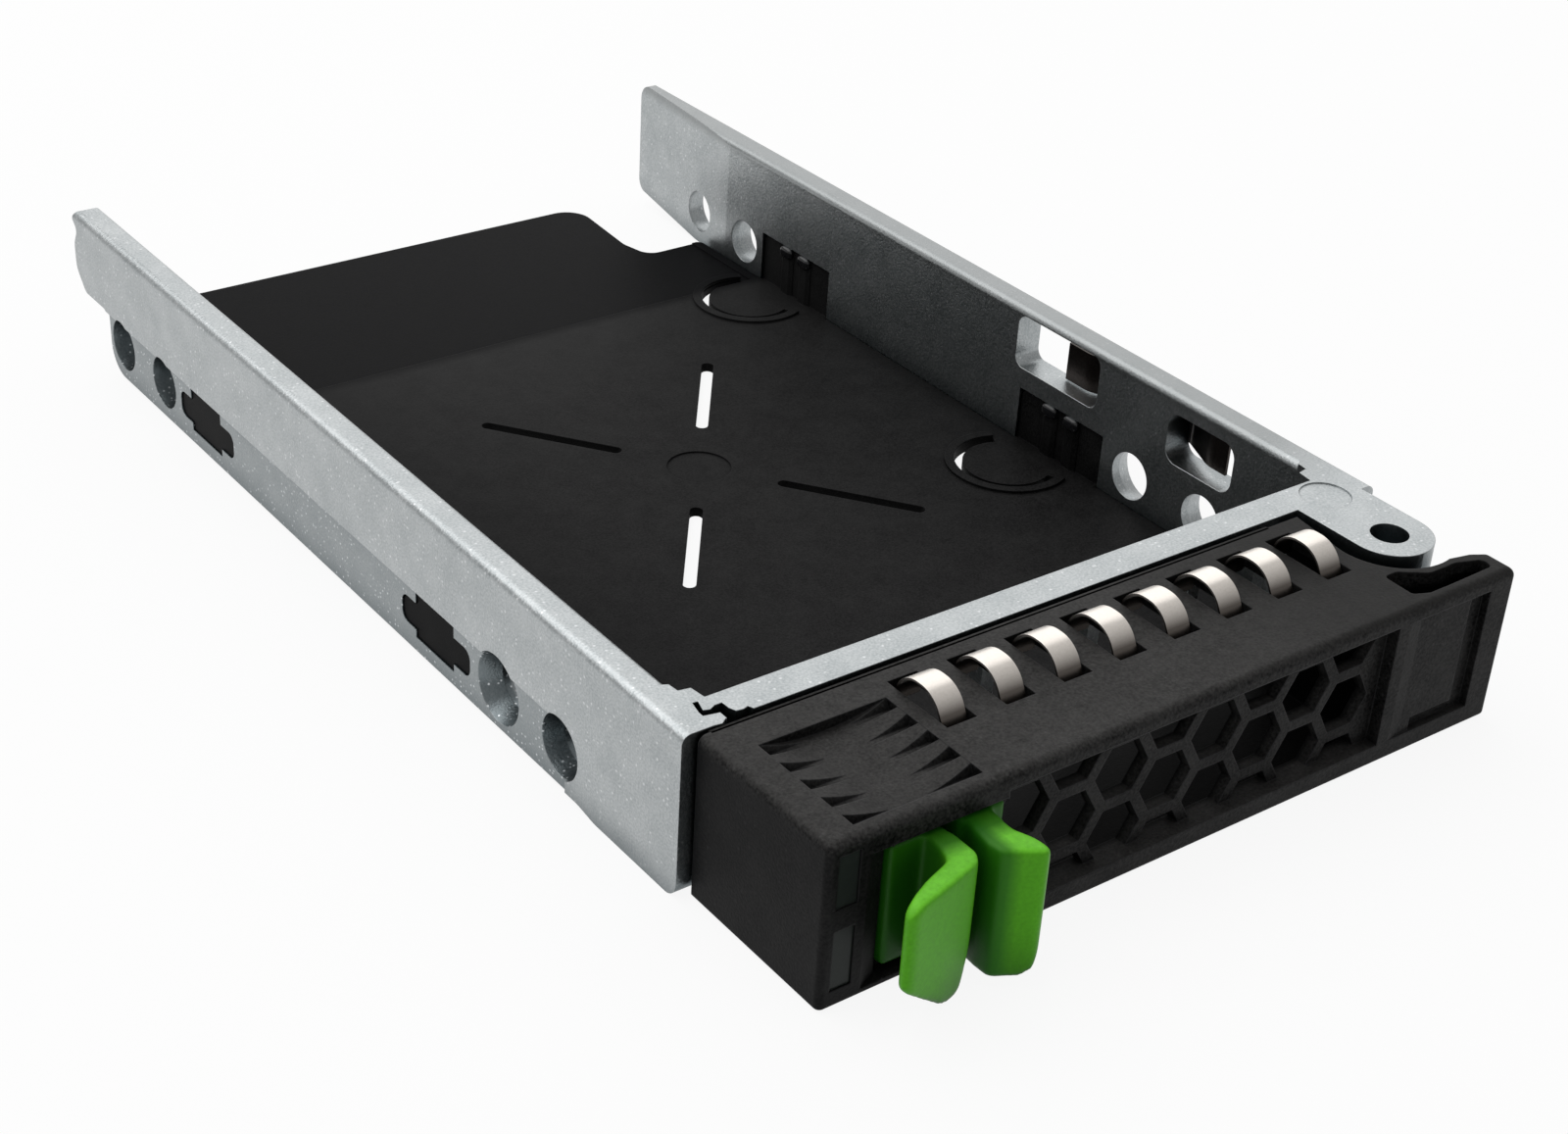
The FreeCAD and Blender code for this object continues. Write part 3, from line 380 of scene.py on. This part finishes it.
def surface_mesh(name, patches, material, body):
    """One smooth mesh from patches, each a grid of points (rows, columns, 3) whose columns close round."""
    corners, faces, first = [], [], 0
    for patch in patches:
        rows, columns = patch.shape[:2]
        row, column = np.meshgrid(np.arange(rows - 1), np.arange(columns), indexing="ij")
        ahead = (column + 1) % columns
        quads = [row * columns + column, row * columns + ahead,
                 (row + 1) * columns + ahead, (row + 1) * columns + column]
        faces.append(np.stack([quad.ravel() for quad in quads], axis=1) + first)
        corners.append(patch.reshape(-1, 3))
        first += rows * columns
    mesh = bpy.data.meshes.new(name)
    mesh.from_pydata(np.concatenate(corners).tolist(), [], np.concatenate(faces).tolist())
    mesh.polygons.foreach_set("use_smooth", np.ones(len(mesh.polygons), dtype=bool))
    mesh.materials.append(material)
    obj = bpy.data.objects.new(name, mesh)
    bpy.context.scene.collection.objects.link(obj)
    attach(obj, body)
    return obj


def pillow(centre, reach, power, rows=25, columns=32):
    """Closed pillow: each axis follows sine and cosine of latitude and longitude to a power below 1."""
    latitude = np.linspace(-math.pi / 2, math.pi / 2, rows)[:, None]
    longitude = np.linspace(0, 2 * math.pi, columns, endpoint=False)[None, :]

    def soft(value):
        return np.sign(value) * np.abs(value) ** power

    x = soft(np.cos(latitude)) * soft(np.cos(longitude))
    y = soft(np.cos(latitude)) * soft(np.sin(longitude))
    z = soft(np.sin(latitude)) * np.ones_like(longitude)
    return np.stack([x, y, z], axis=2) * reach + centre


glossy = finish("black_polished", dark=(0.006, 0.006, 0.007), pale=(0.008, 0.008, 0.009),
                edge_highlight=((0.010, 0.010, 0.011), 0.3), speck=((0.02, 0.02, 0.02), 0.1),
                dust_and_top_light=((0.02, 0.02, 0.02), 0.1), cavity_shade=((0.003, 0.003, 0.003), 0.5),
                grain_size=0.0004, grain_depth=0.000002, edge_round=0.0001, roughness=(0.12, 0.20))
middle_x, clip_reach, clip_rows = -0.00055, 0.03525, (-0.00955, 0.03635)
hump_height, hump_offset, hump_size = 0.0061, 0.00165, (0.0005, 0.0011, 0.0007)
places = [(middle_x + side * clip_reach, row + step * hump_offset, hump_height)
          for side in (-1, 1) for row in clip_rows for step in (-1, 1)]
humps = [pillow(place, hump_size, power=0.7) for place in places]
surface_mesh("clip_humps", humps, glossy, "carrier")

# Lever: one moulding in black plastic, with a slightly paler textured skin on which dust settles. Behind
# the face of its vent panel it has painted shade, almost black, and its left end and the right of its top
# carry painted shade.
black_front = finish("black_front", dark=(0.001, 0.001, 0.0012), pale=(0.029, 0.0285, 0.028),
                     edge_highlight=((0.060, 0.060, 0.063), 0.6), speck=((0.16, 0.16, 0.16), 0.12),
                     dust_and_top_light=((0.088, 0.085, 0.082), 0.55), cavity_shade=((0.0025, 0.0025, 0.0025), 0.75),
                     grain_size=0.00026, grain_depth=0.000026, edge_round=0.00020,
                     roughness=(0.44, 0.62), reach=0.0022, specular=0.07)
handle_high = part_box("lever_handle")[1]
panel_face, below_top = -0.0634, handle_high.z - 0.0010
vent_cell_shade = zone(black_front, ("Y", panel_face + 0.0006, panel_face + 0.0012),
                  ("Z", below_top - 0.0002, below_top - 0.0007), ("X", -0.0200, -0.0195))
left_end_shade = zone(black_front, ("X", -0.030, -0.034), ("Z", below_top + 0.0005, below_top))
top_right_shade = zone(black_front, ("X", 0.002, 0.020), ("Z", below_top + 0.0005, below_top + 0.0008))
# Painted shade in the vent cells, on the left end and on the right of the top.
paint_light_and_shade(black_front, vent_cell_shade, (0.0010, 0.0010, 0.0010), 0.92)
paint_light_and_shade(black_front, left_end_shade, (0.002, 0.002, 0.0024), 0.6)
paint_light_and_shade(black_front, top_right_shade, (0.012, 0.0118, 0.0115), 0.6)
coat("lever_handle", black_front)

# Top lip: the rear edge of the lever's top skin, a narrow bar that nearly closes the gap to the cross bar.
# It is part of the lever's moulding, in its plastic, with the rounded upper edge that the mould leaves.


def extrusion(outline, start, end):
    """Bar along X: a closed outline (y, z) carried from start to end, and closed at both."""
    count = len(outline)
    middle = np.mean(outline, axis=0)
    sections = [np.column_stack([np.full(count, x), middle + (outline - middle) * size])
                for x, size in ((start, 0), (start, 1), (end, 1), (end, 0))]
    return np.stack(sections)


lip_start, lip_end, lip_depth = -0.0366, 0.0235, 0.0011
lip_reach, lip_overlap, lip_round = 0.00042, 0.0002, 0.0003
lip_front, lip_rear = handle_high.y - lip_overlap, handle_high.y + lip_reach
quarter = np.radians(np.linspace(0, 90, 7))[:, None]
rounded = np.column_stack([np.cos(quarter), np.sin(quarter)]) * lip_round
corner = np.array([lip_rear - lip_round, handle_high.z - lip_round])
outline = np.concatenate([corner + rounded, [(lip_front, handle_high.z),
                                             (lip_front, handle_high.z - lip_depth),
                                             (lip_rear, handle_high.z - lip_depth)]])
top_lip = surface_mesh("top_lip", [extrusion(outline, lip_start, lip_end)], black_front, "lever")

# Finger tabs: the sliding latch and the fixed rest are moulded in the same green plastic, with painted
# shade deep in the recess and in the gap that parts the tabs, and painted light on their upward faces and
# edges. A fine remesh and a little smoothing give them their full rounds.
green = finish("green_plastic", dark=(0.066, 0.300, 0.006), pale=(0.084, 0.360, 0.010),
               edge_highlight=((0.17, 0.60, 0.035), 0.7), speck=((0.10, 0.42, 0.03), 0.2),
               dust_and_top_light=((0.22, 0.74, 0.050), 0.9), cavity_shade=((0.002, 0.035, 0.001), 1.0),
               grain_size=0.0003, grain_depth=0.000006, edge_round=0.0004,
               roughness=(0.36, 0.46), reach=0.007, specular=0.12)
recess_shade = zone(green, ("Y", -0.0678, -0.0662))
gap_shade = zone(green, ("X", -0.0258, -0.0252), ("X", -0.0236, -0.0246))
# Painted shade deep in the recess and in the gap that parts the tabs.
paint_light_and_shade(green, recess_shade, (0.010, 0.085, 0.003), 0.8)
paint_light_and_shade(green, gap_shade, (0.012, 0.105, 0.004), 0.8)
for node in ("latch_slider", "thumb_rest"):
    coat(node, green)
    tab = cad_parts[node]
    remesh = tab.modifiers.new("fine_mesh", "REMESH")
    remesh.mode = "VOXEL"
    remesh.voxel_size = 0.00016
    remesh.use_smooth_shade = True
    soften = tab.modifiers.new("soften", "SMOOTH")
    soften.factor = 0.5
    soften.iterations = 40

# Contact strip: nickel silver spring strip, blanked and formed, bright from the rolling mill. The fingers
# carry painted shade and a painted dark reflection where they dip into the lever.
bright = finish("nickel_silver", dark=(0.80, 0.745, 0.685), pale=(0.88, 0.825, 0.765),
                edge_highlight=((0.93, 0.91, 0.88), 0.8), speck=((0.9, 0.87, 0.83), 0.2),
                dust_and_top_light=((0.80, 0.76, 0.71), 0.2), cavity_shade=((0.10, 0.083, 0.072), 0.9),
                grain_size=0.0002, grain_depth=0.000001, edge_round=0.00004,
                roughness=(0.28, 0.36), metallic=1.0)
dipped_end_shade = zone(bright, ("Z", handle_high.z + 0.0015, handle_high.z + 0.0001))
paint_light_and_shade(bright, dipped_end_shade, (0.07, 0.058, 0.050), 0.9)
coat("finger_strip", bright)

# Hinge pin and coil springs: a ground steel pin, and two springs wound from drawn steel wire, one pushing
# the latch and one throwing the lever open.
steel = finish("spring_steel", dark=(0.40, 0.40, 0.40), pale=(0.50, 0.50, 0.50),
               edge_highlight=((0.6, 0.6, 0.6), 0.6), speck=((0.6, 0.6, 0.6), 0.2),
               dust_and_top_light=((0.4, 0.4, 0.4), 0.1), cavity_shade=((0.15, 0.15, 0.15), 0.6),
               grain_size=0.0002, grain_depth=0.000002, edge_round=0.00005,
               roughness=(0.22, 0.32), metallic=1.0)
coat("hinge_pin", steel)


def wire(points, radius, sides=12):
    """Round wire: a circle carried square to the path from point to point, and closed at both ends."""
    along = np.gradient(points, axis=0)
    along /= np.linalg.norm(along, axis=1, keepdims=True)
    circle = np.linspace(0, 2 * math.pi, sides, endpoint=False)[:, None]
    slanted = (0.31, 0.17, 0.93)
    across = np.cross(along[0], slanted)
    rings = []
    for point, direction in zip(points, along):
        across = across - direction * np.dot(across, direction)
        across /= np.linalg.norm(across)
        other = np.cross(direction, across)
        rings.append(point + radius * (np.cos(circle) * across + np.sin(circle) * other))
    foot, head = np.repeat(points[:1], sides, axis=0), np.repeat(points[-1:], sides, axis=0)
    return np.stack([foot, *rings, head])


def coil(radius, turns, steps=28):
    """Even shares of the way along a coil, and radius times cosine and sine of its angle at each."""
    share = np.linspace(0, 1, int(turns * steps) + 1)
    angle = 2 * math.pi * turns * share
    return share, radius * np.cos(angle), radius * np.sin(angle)


# The latch spring's coils lie closer together at both ends, as ground compression springs do.
latch_wire, crowding = 0.0002, 0.6
share, cosine, sine = coil(radius=0.00118, turns=5.5)
run = share - crowding * np.sin(2 * math.pi * share) / (2 * math.pi)
latch_low, latch_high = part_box("latch_spring")
middle_y, middle_z = (latch_low.y + latch_high.y) / 2, (latch_low.z + latch_high.z) / 2
start, end = latch_low.x + latch_wire, latch_high.x - latch_wire
latch_path = np.stack([start + (end - start) * run, middle_y + cosine, middle_z + sine], axis=1)
latch_coil = surface_mesh("latch_coil", [wire(latch_path, latch_wire)], steel, "lever")
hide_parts("latch_spring")

# The lever spring has three turns about the hinge pin, and a straight leg at each end.
pivot_x, pivot_y = 0.03215, -0.05465
lever_wire, end_margin, leg_points = 0.00024, 0.00025, 9
share, cosine, sine = coil(radius=0.0020, turns=3)
lever_low, lever_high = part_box("lever_spring")
foot, head = lever_low.z + end_margin, lever_high.z - end_margin
turned = np.stack([pivot_x - cosine, pivot_y - sine, foot + (head - foot) * share], axis=1)
first = np.linspace((turned[0, 0], lever_high.y, foot), turned[0], leg_points)[:-1]
last = np.linspace(turned[-1], (turned[-1, 0], lever_low.y, head), leg_points)[1:]
lever_path = np.concatenate([first, turned, last])
lever_coil = surface_mesh("lever_coil", [wire(lever_path, lever_wire)], steel, "lever")
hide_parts("lever_spring")

# Side spring: a leaf of blued spring steel, blanked and bent, nearly black with a brown cast. It leaves the
# right rail by the rear window, bows over the wall outside and enters the front window.
blued = finish("blued_steel", dark=(0.060, 0.050, 0.046), pale=(0.090, 0.076, 0.070),
               edge_highlight=((0.32, 0.30, 0.28), 0.8), speck=((0.2, 0.18, 0.17), 0.2),
               dust_and_top_light=((0.10, 0.09, 0.08), 0.1), cavity_shade=((0.02, 0.016, 0.015), 0.6),
               grain_size=0.0002, grain_depth=0.000002, edge_round=0.00006,
               roughness=(0.26, 0.36), metallic=1.0)
coat("side_spring", blued)

# Light pipes: two small mouldings in clear plastic, seated in the left end of the lever's front. They look
# smoky and nearly black against the dark inside of the lever.
clear = finish("clear_plastic", dark=(0.016, 0.019, 0.018), pale=(0.018, 0.022, 0.020),
               edge_highlight=((0.04, 0.045, 0.04), 0.2), speck=((0.018, 0.022, 0.020), 0.1),
               dust_and_top_light=((0.02, 0.024, 0.022), 0.1), cavity_shade=((0.010, 0.012, 0.011), 0.0),
               grain_size=0.0006, grain_depth=0.000001, edge_round=0.00015,
               roughness=(0.30, 0.31), specular=0.10)
for node in ("upper_light_pipe", "lower_light_pipe"):
    coat(node, clear)
